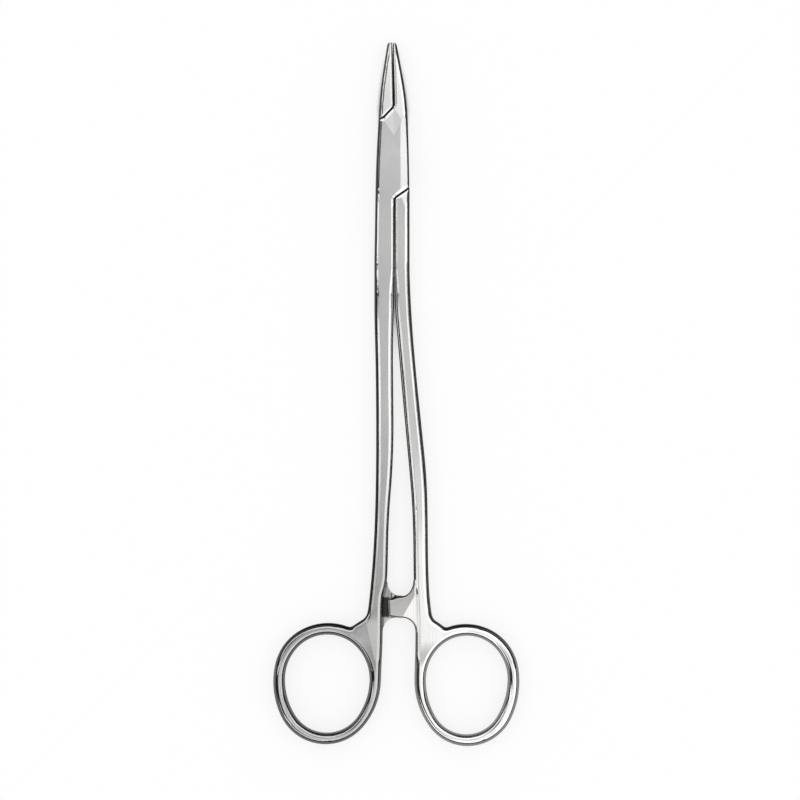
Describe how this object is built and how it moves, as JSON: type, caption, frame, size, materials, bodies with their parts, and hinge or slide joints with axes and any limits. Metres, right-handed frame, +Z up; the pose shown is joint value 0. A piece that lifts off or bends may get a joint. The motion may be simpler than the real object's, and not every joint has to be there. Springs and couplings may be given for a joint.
{
  "type": "surgical needle holder",
  "caption": "Slender steel needle holder with a box lock, cross-grooved jaws, gently curved shanks, a ratchet and oval finger rings.",
  "frame": {"origin": "on the pivot axis, at the flat underside of the box", "axes": "+Y along the instrument towards the jaw tips, +X to the moving half's ring side, +Z up through the box, along the pivot pin"},
  "size_m": [0.0701, 0.2001, 0.0056],
  "materials": {
    "satin_steel": "fine satin faces with polished edges",
    "pin_steel": "ground flush and satin"
  },
  "bodies": {
    "box_half": {"box_half": "satin_steel", "pivot_pin": "pin_steel"},
    "tenon_half": {"tenon_half": "satin_steel"}
  },
  "joints": [
    {"name": "box_lock", "type": "hinge", "parent": "box_half", "child": "tenon_half", "pos_m": [0, 0, 0.0028], "axis": [0, 0, 1], "range_deg": [0, 38]}
  ]
}
